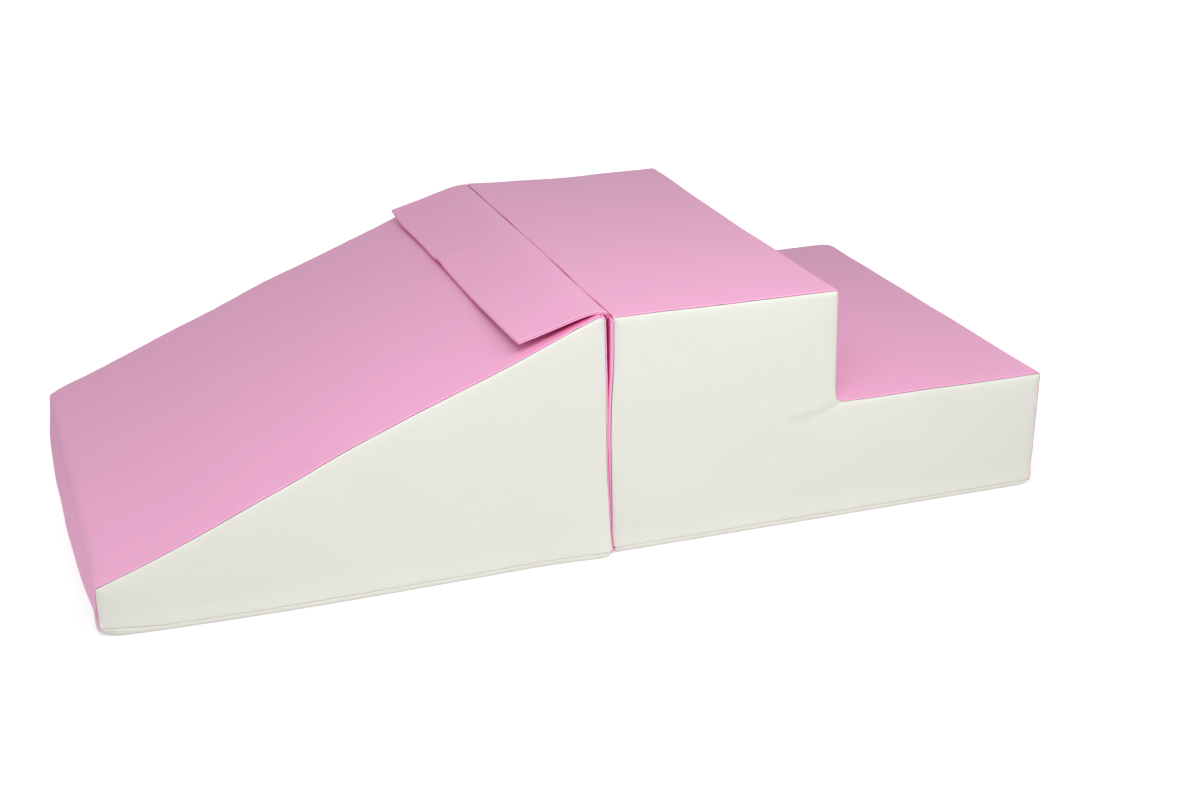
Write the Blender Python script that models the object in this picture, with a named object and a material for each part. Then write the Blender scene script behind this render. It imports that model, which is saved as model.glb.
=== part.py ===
"""Soft play foam climber in metres, +Z up, +X from the slide's low end to the steps, front at -Y.

A slide block and a step block stand side by side. Each is a foam core in a sewn leatherette cover
with a zip in its base. A doubled flap is sewn into the step block's top edge and lies on the slope.
The origin is on the floor, in the middle of the object's length and width.
"""
import math
from collections import namedtuple

import bmesh
import bpy
from mathutils import Matrix, Vector
from mathutils.geometry import delaunay_2d_cdt

# Outer sizes of the two blocks, over their covers
block_width = 0.600
slide_length = 0.600
slide_low_height = 0.060
step_length = 0.600
step_height = 0.306
tread_height = 0.158
top_depth = 0.295
riser_lean = 0.006
apex_rise = 0.003

# Covers
cover_thickness = 0.0015
fit_gap = 0.0003
foot_radius = 0.012
rim_height_share = 0.6
fold_radius = 0.016
apex_radius = 0.006
edge_radius = 0.004
notch_radius = 0.012

# How far the stuffed faces swell past their flat outline
slope_bow = 0.004
slope_crown = 0.003
low_end_crown = 0.010
joint_crown = 0.002
joint_flare = 0.0025
joint_air_gap = 0.0015
top_crown = 0.002
riser_crown = 0.0015
tread_crown = 0.002
end_crown = 0.006
side_crown = 0.003
side_crown_reach = 0.070
panel_grid = 0.040

# Flap
flap_length = 0.116
flap_width = 0.580
flap_layer_thickness = 0.0012
flap_lift = 0.014
flap_sag_share = 0.4
flap_bend_power = 1.5
flap_clearance = 0.0005
tape_strip_width = 0.025
tape_strip_length = 0.500
tape_strip_thickness = 0.001
tape_strip_start_share = 0.55

# Base zip of each block
zip_end_margin = 0.050
zip_slot_width = 0.012
hem_width = 0.010
zip_tape_width = 0.013
zip_tape_thickness = 0.0006
coil_width = 0.0014
coil_height = 0.0018
coil_parting = 0.0012
coil_pitch = 0.010
stop_length = 0.003
stop_rise = 0.0006
slider_length = 0.010
slider_width = 0.008
slider_plate = 0.0009
slider_post_width = 0.0006
slider_post_length = 0.003
lug_width = 0.0016
lug_length = 0.0016
pull_length = 0.020
pull_width = 0.005
pull_thickness = 0.0010
pull_ear_width = 0.0012
pull_hole_radius_share = 0.3
pull_floor_gap = 0.0006

# Overrun of every cut, and the counts that set how finely the soft faces are divided
cut_overrun = 0.020
WIDTH_STEPS = 10
RUN_STEPS = 6
SLOPE_STEPS = 10
ARC_STEPS = 4
FLAP_STEPS = 10

# Places worked out from the sizes above
slide_height = step_height + apex_rise
half_width = block_width / 2
rim_height = foot_radius * rim_height_share
skin = cover_thickness + fit_gap
seam_height = rim_height + fit_gap
joint_spacing = joint_air_gap + 2 * joint_crown + joint_flare
left_reach = joint_spacing / 2 + slide_length + low_end_crown
right_reach = joint_spacing / 2 + step_length + end_crown
joint_x = (left_reach - right_reach) / 2
slide_high_x = joint_x - joint_spacing / 2
slide_low_x = slide_high_x - slide_length
step_left_x = joint_x + joint_spacing / 2
step_end_x = step_left_x + step_length
riser_top_x = step_left_x + top_depth
riser_foot_x = riser_top_x + riser_lean

flap_thickness = 2 * flap_layer_thickness + fit_gap
hinge_x = step_left_x + flap_thickness / 2

PINK = (0.83, 0.42, 0.63)
WHITE = (0.80, 0.80, 0.74)
FOAM = (0.86, 0.84, 0.62)

Corner = namedtuple("Corner", "x z radius bow crown steps seam mark", defaults=(0, 0, 0, 1, False, None))
Sample = namedtuple("Sample", "point normal bow crown")


def material(name, colour, roughness, metallic=0.0):
    """A plain Principled material."""
    mat = bpy.data.materials.new(name)
    mat.use_nodes = True
    shader = mat.node_tree.nodes["Principled BSDF"]
    shader.inputs["Base Color"].default_value = (*colour, 1)
    shader.inputs["Roughness"].default_value = roughness
    shader.inputs["Metallic"].default_value = metallic
    return mat


def finish(name, bm, look, smooth=True):
    """Turn a bmesh into a named object."""
    bmesh.ops.recalc_face_normals(bm, faces=bm.faces)
    mesh = bpy.data.meshes.new(name)
    bm.to_mesh(mesh)
    bm.free()
    obj = bpy.data.objects.new(name, mesh)
    bpy.context.collection.objects.link(obj)
    mesh.materials.append(look)
    if smooth:
        mesh.shade_smooth()
        mesh.set_sharp_from_angle(angle=math.radians(40))
    return obj


def box(name, low, high, look):
    """A closed box between two corners."""
    bm = bmesh.new()
    bmesh.ops.create_cube(bm, size=1)
    low, high = Vector(low), Vector(high)
    bmesh.ops.scale(bm, vec=high - low, verts=bm.verts)
    bmesh.ops.translate(bm, vec=(low + high) / 2, verts=bm.verts)
    return finish(name, bm, look, smooth=False)


def cutter(obj):
    """Mark an object as a guide that only cuts others."""
    obj.hide_render = True
    obj.display_type = "WIRE"
    return obj


def boolean(obj, other, operation="DIFFERENCE"):
    """Cut or join an object with another."""
    mod = obj.modifiers.new(other.name, "BOOLEAN")
    mod.object = other
    mod.operation = operation
    mod.solver = "EXACT"


def outward(direction):
    """The outer side of a direction, for an outline that runs clockwise seen from the front."""
    return Vector((-direction.y, direction.x))


def corner_samples(before, corner, after):
    """Points and outward normals round one corner of an outline."""
    here = Vector((corner.x, corner.z))
    way_in = (here - Vector((before.x, before.z))).normalized()
    way_out = (Vector((after.x, after.z)) - here).normalized()
    if corner.radius == 0:
        mitre = outward(way_in) + outward(way_out)
        mitre /= 1 + outward(way_in).dot(outward(way_out))
        return [Sample(here, mitre, 0, 0)], 0
    turn = way_in.angle_signed(way_out)
    side = math.copysign(1, turn)
    start = here - way_in * corner.radius * math.tan(abs(turn) / 2)
    centre = start - side * outward(way_in) * corner.radius
    shares = [k / ARC_STEPS for k in range(ARC_STEPS + 1)]
    seam_index = 0
    if corner.seam:
        seam_share = math.acos(1 - seam_height / corner.radius) / abs(turn)
        if corner.mark == "right_seam":
            seam_share = 1 - seam_share
        shares = [0, seam_share / 2, seam_share, (1 + seam_share) / 2, 1]
        seam_index = 2
    samples = []
    for share in shares:
        normal = Matrix.Rotation(-turn * share, 2) @ outward(way_in)
        samples.append(Sample(centre + side * normal * corner.radius, normal, 0, 0))
    return samples, seam_index


def run_samples(start, end, corner):
    """Points between two corners; the face swells most at the middle of its run."""
    direction = (end.point - start.point).normalized()
    samples = []
    for k in range(1, corner.steps):
        share = k / corner.steps
        swell = 4 * share * (1 - share)
        point = start.point.lerp(end.point, share)
        samples.append(Sample(point, outward(direction), corner.bow * swell, corner.crown * swell))
    return samples


def outline(corners):
    """A closed outline with rounded corners, and the places marked on it."""
    rounds = [corner_samples(corners[i - 1], corner, corners[(i + 1) % len(corners)])
              for i, corner in enumerate(corners)]
    samples, marks = [], {}
    for i, corner in enumerate(corners):
        arc, seam_index = rounds[i]
        if corner.mark:
            marks[corner.mark] = len(samples) + seam_index
        samples += arc
        following = rounds[(i + 1) % len(corners)][0]
        samples += run_samples(arc[-1], following[0], corner)
    return samples, marks


def slide_outline():
    """The wedge: base, low end, slope and joint face, clockwise from the low foot."""
    return outline([
        Corner(slide_low_x, 0, foot_radius, 0, low_end_crown, RUN_STEPS, True, "left_seam"),
        Corner(slide_low_x, slide_low_height, fold_radius, slope_bow, slope_crown, SLOPE_STEPS),
        Corner(slide_high_x, slide_height, apex_radius, 0, joint_crown, RUN_STEPS, False, "apex"),
        Corner(slide_high_x + joint_flare, 0, foot_radius, 0, 0, 1, True, "right_seam"),
    ])


def step_outline():
    """The L: base, joint face, top, riser, tread and end, clockwise from the joint foot.

    Also gives the outline of the foam, whose inner corner is square where the cover bridges it.
    """
    corners = [
        Corner(step_left_x, 0, foot_radius, 0, joint_crown, RUN_STEPS, True, "left_seam"),
        Corner(step_left_x, step_height, 0, 0, top_crown, RUN_STEPS, False, "apex"),
        Corner(riser_top_x, step_height, edge_radius, 0, riser_crown, RUN_STEPS),
        Corner(riser_foot_x, tread_height, notch_radius, 0, tread_crown, RUN_STEPS, False, "notch"),
        Corner(step_end_x, tread_height, edge_radius, 0, end_crown, RUN_STEPS),
        Corner(step_end_x, 0, foot_radius, 0, 0, 1, True, "right_seam"),
    ]
    samples, marks = outline(corners)
    notch = marks["notch"]
    riser, inner, tread = corners[2:5]
    square, _ = corner_samples(riser, inner._replace(radius=0), tread)
    return samples, marks, samples[:notch + 1] + square + samples[notch + ARC_STEPS:]


def swollen(sample, y, reach, inset):
    """A point of a stuffed face, at a place across its width and a depth under its surface."""
    across = 1 - (y / reach) ** 4
    place = sample.point + sample.normal * (sample.bow + sample.crown * across - inset)
    return Vector((place.x, y, place.y))


def width_places(reach):
    """Evenly spaced places across the width."""
    return [reach * (2 * k / WIDTH_STEPS - 1) for k in range(WIDTH_STEPS + 1)]


def sheet(name, samples, face_reach, reach, near, far, look):
    """A closed slab along a row of samples, between two depths under a swollen face.

    face_reach is half the width of the face itself, and reach is half the width of the slab on it.
    """
    bm = bmesh.new()
    layers = [[[bm.verts.new(swollen(sample, y, face_reach, depth)) for y in width_places(reach)]
               for sample in samples] for depth in (near, far)]
    last_row, last_column = len(samples) - 1, WIDTH_STEPS
    for layer in layers:
        for i in range(last_row):
            for j in range(last_column):
                bm.faces.new((layer[i][j], layer[i + 1][j], layer[i + 1][j + 1], layer[i][j + 1]))
    upper, lower = layers
    for i in range(last_row):
        for j in (0, last_column):
            bm.faces.new((upper[i][j], upper[i + 1][j], lower[i + 1][j], lower[i][j]))
    for i in (0, last_row):
        for j in range(last_column):
            bm.faces.new((upper[i][j], upper[i][j + 1], lower[i][j + 1], lower[i][j]))
    return finish(name, bm, look)


def foam_block(name, samples, look):
    """A closed block inside the cover, swollen as the cover is."""
    bm = bmesh.new()
    reach = half_width - skin
    rings = [[bm.verts.new(swollen(sample, y, reach, skin)) for sample in samples]
             for y in width_places(reach)]
    count = len(samples)
    for j in range(WIDTH_STEPS):
        for i in range(count):
            after = (i + 1) % count
            bm.faces.new((rings[j][i], rings[j][after], rings[j + 1][after], rings[j + 1][i]))
    bm.faces.new(rings[0])
    bm.faces.new(list(reversed(rings[-1])))
    return finish(name, bm, look)


def distance_to_outline(point, loop):
    """The shortest distance from a point to a closed outline."""
    shortest = math.inf
    for start, end in zip(loop, loop[1:] + loop[:1]):
        along = end - start
        share = max(0, min(1, (point - start).dot(along) / along.length_squared))
        shortest = min(shortest, (point - start - along * share).length)
    return shortest


def inside(point, loop):
    """Whether a point lies within a closed outline."""
    within = False
    for start, end in zip(loop, loop[1:] + loop[:1]):
        if (start.y > point.y) != (end.y > point.y):
            crossing = start.x + (point.y - start.y) / (end.y - start.y) * (end.x - start.x)
            if point.x < crossing:
                within = not within
    return within


def side_panel(name, samples, marks, side, look):
    """The flat side of a block: its inner face is flat, its outer face swells away from the seam."""
    loop = [sample.point + sample.normal * (sample.bow - skin)
            for sample in samples[marks["left_seam"]:marks["right_seam"] + 1]]
    low = Vector((min(p.x for p in loop), min(p.y for p in loop)))
    high = Vector((max(p.x for p in loop), max(p.y for p in loop)))
    columns = round((high.x - low.x) / panel_grid)
    rows = round((high.y - low.y) / panel_grid)
    cell = Vector(((high.x - low.x) / columns, (high.y - low.y) / rows))
    grid = [low + Vector((cell.x * (i + 0.5), cell.y * (j + 0.5)))
            for i in range(columns) for j in range(rows)]
    inner_points = [p for p in grid if inside(p, loop) and distance_to_outline(p, loop) > panel_grid / 4]
    edges = [(i, (i + 1) % len(loop)) for i in range(len(loop))]
    points, _, faces, *_ = delaunay_2d_cdt(loop + inner_points, edges, [], 1, fit_gap / 10)
    bm = bmesh.new()
    flat, swelled = [], []
    for point in points:
        depth = min(1, distance_to_outline(point, loop) / side_crown_reach)
        lift = side_crown * math.sin(depth * math.pi / 2)
        flat.append(bm.verts.new((point.x, side * (half_width - cover_thickness), point.y)))
        swelled.append(bm.verts.new((point.x, side * (half_width + lift), point.y)))
    for face in faces:
        bm.faces.new([flat[i] for i in face])
        bm.faces.new([swelled[i] for i in reversed(face)])
    border = [edge for edge in bm.edges if len(edge.link_faces) == 1]
    by_place = {flat[i]: swelled[i] for i in range(len(points))}
    for edge in [e for e in border if e.verts[0] in by_place]:
        a, b = edge.verts
        bm.faces.new((a, b, by_place[b], by_place[a]))
    return finish(name, bm, look)


def prism(name, loop, y_low, y_high, look):
    """A closed prism along Y from an outline of (x, z) points."""
    bm = bmesh.new()
    front = [bm.verts.new((p.x, y_low, p.y)) for p in loop]
    rear = [bm.verts.new((p.x, y_high, p.y)) for p in loop]
    bm.faces.new(front)
    bm.faces.new(list(reversed(rear)))
    for i in range(len(loop)):
        after = (i + 1) % len(loop)
        bm.faces.new((front[i], rear[i], rear[after], front[after]))
    return finish(name, bm, look)


def foot_loop(samples, marks, inset):
    """The part of a block's outline below the base seam, at a depth under its surface."""
    low = samples[marks["right_seam"]:] + samples[:marks["left_seam"] + 1]
    loop = [sample.point + sample.normal * -inset for sample in low]
    if inset == 0:
        loop[0].y = loop[-1].y = rim_height
        return loop
    top = seam_height + cut_overrun
    return [Vector((loop[0].x, top)), *loop, Vector((loop[-1].x, top))]


Zip = namedtuple("Zip", "slot_low slot_high left_stop right_stop slider_low")


def zip_places(left_x, right_x):
    """Where a block's base zip starts, stops and keeps its slider at rest."""
    slot_low = left_x + zip_end_margin
    slot_high = right_x - zip_end_margin
    left_stop = slot_low + pull_length + stop_length
    right_stop = slot_high - stop_length - fit_gap
    return Zip(slot_low, slot_high, left_stop, right_stop, right_stop - fit_gap - slider_length)


hem_top = 2 * cover_thickness
zip_bottom = hem_top + fit_gap
coil_top = zip_bottom + coil_height
slider_bottom = zip_bottom - fit_gap - slider_plate
slider_top = coil_top + fit_gap + slider_plate
groove_top = slider_top + fit_gap
coil_inner = coil_parting / 2
coil_outer = coil_inner + coil_width
tape_inner = coil_outer + fit_gap
tape_outer = tape_inner + zip_tape_width
groove_half_width = max(tape_outer, zip_slot_width / 2 + hem_width) + fit_gap
pull_z = pull_floor_gap + pull_thickness / 2


def slider_travel(places):
    """How far a slider runs from its closed end to the far stops."""
    return places.slider_low - places.left_stop - fit_gap


def base_panels(block, samples, marks, places, look):
    """The two halves of a block's base, each a shallow tray with a doubled hem along the zip."""
    for name, side in (("front", -1), ("rear", 1)):
        foot, inner_foot = foot_loop(samples, marks, 0), foot_loop(samples, marks, cover_thickness)
        wall = half_width - cover_thickness
        panel = prism(f"{block}_base_{name}_panel", foot, -half_width, half_width, look)
        hollow = prism(f"{block}_{name}_hollow", inner_foot, -wall, wall, look)
        slot_edge = side * zip_slot_width / 2
        hem_edge = slot_edge + side * hem_width
        hem = box(f"{block}_{name}_hem", (places.slot_low, min(slot_edge, hem_edge), cover_thickness / 2),
                  (places.slot_high, max(slot_edge, hem_edge), hem_top), look)
        slot = box(f"{block}_{name}_slot", (places.slot_low, -zip_slot_width / 2, -cut_overrun),
                   (places.slot_high, zip_slot_width / 2, cut_overrun), look)
        near, far = side * fit_gap / 2, -side * (half_width + cut_overrun)
        left_x, right_x = samples[marks["left_seam"]].point.x, samples[marks["right_seam"]].point.x
        other_half = box(f"{block}_{name}_other_half", (left_x - cut_overrun, min(near, far), -cut_overrun),
                         (right_x + cut_overrun, max(near, far), cut_overrun), look)
        boolean(panel, cutter(hollow))
        boolean(panel, cutter(hem), "UNION")
        boolean(panel, cutter(slot))
        boolean(panel, cutter(other_half))
        yield panel


def groove(block, places, look):
    """The channel along the underside of a foam block that leaves room for the zip."""
    ends = zip_slot_width / 2
    return cutter(box(f"{block}_groove", (places.slot_low - ends, -groove_half_width, -cut_overrun),
                      (places.slot_high + ends, groove_half_width, groove_top), look))


def coil_row(name, places, side, look):
    """One row of coil teeth, as a bar whose top edge is notched once in every pitch."""
    bm = bmesh.new()
    count = round((places.slot_high - places.slot_low) / coil_pitch)
    pitch = (places.slot_high - places.slot_low) / count
    stations = []
    for k in range(count):
        left = places.slot_low + k * pitch
        stations += [(left, coil_top - coil_height / 4), (left + pitch / 4, coil_top)]
        stations += [(left + 3 * pitch / 4, coil_top)]
    stations.append((places.slot_high, coil_top - coil_height / 4))
    rings = []
    for x, top in stations:
        section = [(coil_inner, zip_bottom), (coil_outer, zip_bottom), (coil_outer, top), (coil_inner, top)]
        rings.append([bm.verts.new((x, side * y, z)) for y, z in section])
    for before, after in zip(rings, rings[1:]):
        for i in range(4):
            j = (i + 1) % 4
            bm.faces.new((before[i], before[j], after[j], after[i]))
    bm.faces.new(rings[0])
    bm.faces.new(rings[-1])
    return finish(name, bm, look, smooth=False)


def zip_slider(name, places, look):
    """Two plates joined by a post between the coil rows, with a lug underneath for the pull."""
    middle = places.slider_low + slider_length / 2
    plate = box(name, (places.slider_low, -slider_width / 2, slider_bottom),
                (places.slider_low + slider_length, slider_width / 2, slider_bottom + slider_plate), look)
    top = box(f"{name}_top", (places.slider_low, -slider_width / 2, slider_top - slider_plate),
              (places.slider_low + slider_length, slider_width / 2, slider_top), look)
    root_low, root_high = slider_bottom + slider_plate / 2, slider_top - slider_plate / 2
    post = box(f"{name}_post", (middle - slider_post_length / 2, -slider_post_width / 2, root_low),
               (middle + slider_post_length / 2, slider_post_width / 2, root_high), look)
    lug = box(f"{name}_lug", (pull_x(places) - lug_length / 2, -lug_width / 2, pull_floor_gap),
              (pull_x(places) + lug_length / 2, lug_width / 2, root_low), look)
    for piece in (post, lug, top):
        boolean(plate, cutter(piece), "UNION")
    return plate


def pull_x(places):
    """The pull's hinge line, under the slider's open end."""
    return places.slider_low + lug_length


def zip_pull(name, places, look):
    """A flat tab whose two ears hold the slider's lug between them."""
    clear = math.hypot(lug_length / 2, slider_bottom - pull_z) + fit_gap
    root_x = pull_x(places) - clear
    tip_x = pull_x(places) - pull_length
    low_z, high_z = pull_z - pull_thickness / 2, pull_z + pull_thickness / 2
    tab = box(name, (tip_x, -pull_width / 2, low_z), (root_x, pull_width / 2, high_z), look)
    for side in (-1, 1):
        near = side * (lug_width / 2 + fit_gap)
        far = near + side * pull_ear_width
        ear = box(f"{name}_ear_{side + 1}", (root_x - pull_ear_width, min(near, far), low_z),
                  (pull_x(places) + pull_thickness / 2, max(near, far), high_z), look)
        boolean(tab, cutter(ear), "UNION")
    bm = bmesh.new()
    radius = pull_width * pull_hole_radius_share
    bmesh.ops.create_cone(bm, cap_ends=True, segments=16, radius1=radius, radius2=radius, depth=cut_overrun)
    bmesh.ops.translate(bm, vec=(tip_x + pull_width / 2, 0, pull_z), verts=bm.verts)
    boolean(tab, cutter(finish(f"{name}_hole", bm, look)))
    return tab


def base_zip(block, places):
    """Every piece of one block's zip; gives back the fixed pieces, the slider and the pull."""
    tape_look = material(f"{block} zip tape woven polyester", WHITE, 0.9)
    coil_look = material(f"{block} zip coil nylon", WHITE, 0.5)
    metal = material(f"{block} zip slider die-cast zinc", (0.55, 0.56, 0.58), 0.35, 1.0)
    fixed = []
    for name, side in (("front", -1), ("rear", 1)):
        near, far = side * tape_inner, side * tape_outer
        fixed.append(box(f"{block}_zip_{name}_tape", (places.slot_low, min(near, far), zip_bottom),
                         (places.slot_high, max(near, far), zip_bottom + zip_tape_thickness), tape_look))
        fixed.append(coil_row(f"{block}_zip_{name}_coil", places, side, coil_look))
    stop_low, stop_high = coil_top + fit_gap, coil_top + fit_gap + stop_rise
    fixed.append(box(f"{block}_zip_bottom_stop", (places.left_stop - stop_length, -coil_outer, stop_low),
                     (places.left_stop, coil_outer, stop_high), metal))
    for name, side in (("front", -1), ("rear", 1)):
        near, far = side * coil_inner, side * coil_outer
        fixed.append(box(f"{block}_zip_{name}_top_stop", (places.right_stop, min(near, far), stop_low),
                         (places.right_stop + stop_length, max(near, far), stop_high), metal))
    slider = zip_slider(f"{block}_zip_slider", places, metal)
    pull = zip_pull(f"{block}_zip_pull", places, metal)
    return fixed, slider, pull


def pivot(name, place, parent=None):
    """An empty on a joint's axis, which carries the pieces that move with it."""
    empty = bpy.data.objects.new(name, None)
    bpy.context.collection.objects.link(empty)
    empty["world_place"] = place
    empty.location = place
    if parent:
        empty.parent = parent
        empty.location = Vector(place) - Vector(parent["world_place"])
    return empty


def carry(pieces, empty):
    """Hang pieces, modelled in place, on a pivot."""
    for piece in pieces:
        piece.data.transform(Matrix.Translation(-Vector(empty["world_place"])))
        piece.parent = empty


def slope_sample(samples, marks, distance):
    """The point of the slope at a distance from the apex, measured along it."""
    run = samples[:marks["apex"] + 1]
    for after, before in zip(reversed(run), reversed(run[:-1])):
        length = (after.point - before.point).length
        if distance <= length:
            share = distance / length
            bow = after.bow + (before.bow - after.bow) * share
            crown = after.crown + (before.crown - after.crown) * share
            return Sample(after.point.lerp(before.point, share), before.normal, bow, crown)
        distance -= length
    return run[0]


def flap_edge_height(samples, marks):
    """The height of the flap's free edge, lifted off the slope."""
    under = slope_sample(samples, marks, flap_length)
    return under.point.y + under.bow + under.crown + flap_lift


def hinge_height(samples, marks):
    """The flap's hinge line, high enough for the flap to clear the step's top and the slide's apex."""
    over_step = step_height + flap_clearance + flap_thickness / 2
    top = max(samples, key=lambda sample: sample.point.y).point
    bend = ((hinge_x - top.x) / flap_length) ** flap_bend_power
    over_apex = top.y + flap_clearance + flap_thickness / 2
    return max(over_step, (over_apex - flap_edge_height(samples, marks) * bend) / (1 - bend))


def flap_samples(samples, marks, start, end, steps):
    """The flap's middle surface from its hinge to its free edge."""
    hinge_z = hinge_height(samples, marks)
    drop = hinge_z - flap_edge_height(samples, marks)
    sag = flap_lift * flap_sag_share
    points = []
    for k in range(steps + 1):
        share = start + (end - start) * k / steps
        x = hinge_x - flap_length * share
        points.append((Vector((x, hinge_z - drop * share ** flap_bend_power)), -sag * share ** 2))
    found = []
    for k, (point, crown) in enumerate(points):
        before, after = points[max(k - 1, 0)][0], points[min(k + 1, steps)][0]
        found.append(Sample(point, outward((before - after).normalized()), 0, crown))
    return found


def build_slide():
    """The slide block."""
    pink = material("slide cover pink leatherette", PINK, 0.45)
    white = material("slide cover white leatherette", WHITE, 0.45)
    samples, marks = slide_outline()
    left, apex, right = marks["left_seam"], marks["apex"], marks["right_seam"]
    places = zip_places(slide_low_x, slide_high_x)
    foam = foam_block("slide_foam_core", samples, material("slide polyurethane foam", FOAM, 0.95))
    boolean(foam, groove("slide", places, white))
    slope_end = apex + ARC_STEPS // 2
    slope_run = samples[left:slope_end + 1]
    pieces = [
        foam,
        sheet("slide_slope_cover", slope_run, half_width, half_width, 0, cover_thickness, pink),
        side_panel("slide_front_panel", samples, marks, -1, white),
        side_panel("slide_rear_panel", samples, marks, 1, white),
    ]
    joint = samples[slope_end:right + 1]
    first = joint[1].point - joint[0].point
    parted = joint[0].point + first.normalized() * fit_gap
    joint[0] = joint[0]._replace(point=parted)
    pieces.append(sheet("slide_joint_cover", joint, half_width, half_width, 0, cover_thickness, pink))
    pieces += base_panels("slide", samples, marks, places, white)
    strip_start = flap_length * tape_strip_start_share
    strip = [slope_sample(samples, marks, strip_start + tape_strip_width),
             slope_sample(samples, marks, strip_start)]
    strip_look = material("loop tape knitted nylon", PINK, 0.95)
    pieces.append(sheet("slide_loop_strip", strip, half_width, tape_strip_length / 2,
                        -fit_gap - tape_strip_thickness, -fit_gap, strip_look))
    zip_pieces, slider, pull = base_zip("slide", places)
    return pieces + zip_pieces, slider, pull, places, samples, marks


def build_step(hinge_z):
    """The step block with the flap's sewn-in root, which ends round at the hinge line."""
    pink = material("step cover pink leatherette", PINK, 0.45)
    white = material("step cover white leatherette", WHITE, 0.45)
    foam_look = material("step polyurethane foam", FOAM, 0.95)
    samples, marks, square_samples = step_outline()
    left, apex, right = marks["left_seam"], marks["apex"], marks["right_seam"]
    places = zip_places(step_left_x, step_end_x)
    glue_z = tread_height - skin + fit_gap / 2
    span_low = (step_left_x - cut_overrun, -half_width - cut_overrun)
    span_high = (step_end_x + cut_overrun, half_width + cut_overrun)
    lower = foam_block("step_foam_lower", square_samples, foam_look)
    upper = foam_block("step_foam_upper", square_samples, foam_look)
    above = box("step_above_glue_line", (*span_low, glue_z), (riser_foot_x - skin + fit_gap, span_high[1],
                step_height + cut_overrun), white)
    below = box("step_below_glue_line", (*span_low, -cut_overrun), (*span_high, glue_z + fit_gap), white)
    beyond = box("step_beyond_riser", (riser_foot_x, span_low[1], -cut_overrun),
                 (*span_high, tread_height + cut_overrun), white)
    boolean(lower, cutter(above))
    boolean(lower, groove("step", places, white))
    boolean(upper, cutter(below))
    boolean(upper, cutter(beyond))
    top = samples[apex:right + 1]
    beside_root = top[0].point + Vector((flap_thickness + fit_gap, 0))
    top[0] = top[0]._replace(point=beside_root, normal=Vector((0, 1)))
    joint = samples[left:apex + 1]
    joint[-1] = joint[-1]._replace(point=joint[-1].point - Vector((0, skin)), normal=Vector((-1, 0)))
    pieces = [
        lower,
        upper,
        sheet("step_top_cover", top, half_width, half_width, 0, cover_thickness, pink),
        sheet("step_joint_cover", joint, half_width, half_width, 0, cover_thickness, pink),
        side_panel("step_front_panel", samples, marks, -1, white),
        side_panel("step_rear_panel", samples, marks, 1, white),
    ]
    pieces += base_panels("step", samples, marks, places, white)
    half_round = [Vector((-math.cos(a), math.sin(a))) * flap_thickness / 2
                  for a in [math.pi * k / ARC_STEPS for k in range(ARC_STEPS + 1)]]
    root_top = [Vector((hinge_x, hinge_z)) + place for place in half_round]
    root_loop = [Vector((step_left_x, step_height - cover_thickness)), *root_top,
                 Vector((step_left_x + flap_thickness, step_height - cover_thickness))]
    pieces.append(prism("flap_root_strip", root_loop, -half_width, half_width, pink))
    zip_pieces, slider, pull = base_zip("step", places)
    return pieces + zip_pieces, slider, pull, places


def build_flap(slope, slope_marks):
    """The doubled flap, with its strip of hook tape."""
    pink = material("flap pink leatherette", PINK, 0.45)
    start = (flap_thickness / 2 + fit_gap) / flap_length
    whole = flap_samples(slope, slope_marks, start, 1, FLAP_STEPS)
    reach = flap_width / 2
    half = flap_thickness / 2
    outer = sheet("flap_outer", whole, reach, reach, -half, -half + flap_layer_thickness, pink)
    lining = sheet("flap_lining", whole, reach, reach, half - flap_layer_thickness, half, pink)
    strip_end = tape_strip_start_share + tape_strip_width / flap_length
    strip = flap_samples(slope, slope_marks, tape_strip_start_share, strip_end, 2)
    strip_look = material("hook tape moulded nylon", PINK, 0.6)
    depth = half + 2 * fit_gap
    hook = sheet("flap_hook_strip", strip, reach, tape_strip_length / 2, depth,
                 depth + tape_strip_thickness, strip_look)
    return [outer, lining, hook]


def build():
    """Remove what the scene holds, then make the climber."""
    for obj in list(bpy.data.objects):
        bpy.data.objects.remove(obj)
    slide, slide_slider, slide_pull, slide_zip, slope, slope_marks = build_slide()
    hinge_z = hinge_height(slope, slope_marks)
    _, step_slider, step_pull, step_zip = build_step(hinge_z)
    flap = build_flap(slope, slope_marks)
    slide_pivot = pivot("slide_block_way", (joint_x, 0, 0))
    flap_pivot = pivot("flap_hinge_line", (hinge_x, 0, hinge_z))
    carry(slide, slide_pivot)
    carry(flap, flap_pivot)
    for name, places, slider, pull, parent in (("slide", slide_zip, slide_slider, slide_pull, slide_pivot),
                                               ("step", step_zip, step_slider, step_pull, None)):
        way = pivot(f"{name}_slider_way", (places.slider_low, 0, zip_bottom), parent)
        hinge = pivot(f"{name}_pull_hinge_line", (pull_x(places), 0, pull_z), way)
        carry([slider], way)
        carry([pull], hinge)
        print(name, "slider travel", round(slider_travel(places), 6), "pull axis", round(pull_x(places), 6),
              round(pull_z, 6))
    print("joint plane", round(joint_x, 6), "flap hinge", round(hinge_x, 6), round(hinge_z, 6))


build()
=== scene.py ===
"""The looks of the soft play foam climber: two upholstered blocks with a flap over their joint.

Metres, +Z up, +X from the slide's low end to the steps, front at -Y.
"""
import math
from collections import namedtuple

import bpy
import numpy as np
from mathutils import Matrix, Vector
from mathutils.geometry import delaunay_2d_cdt


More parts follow.
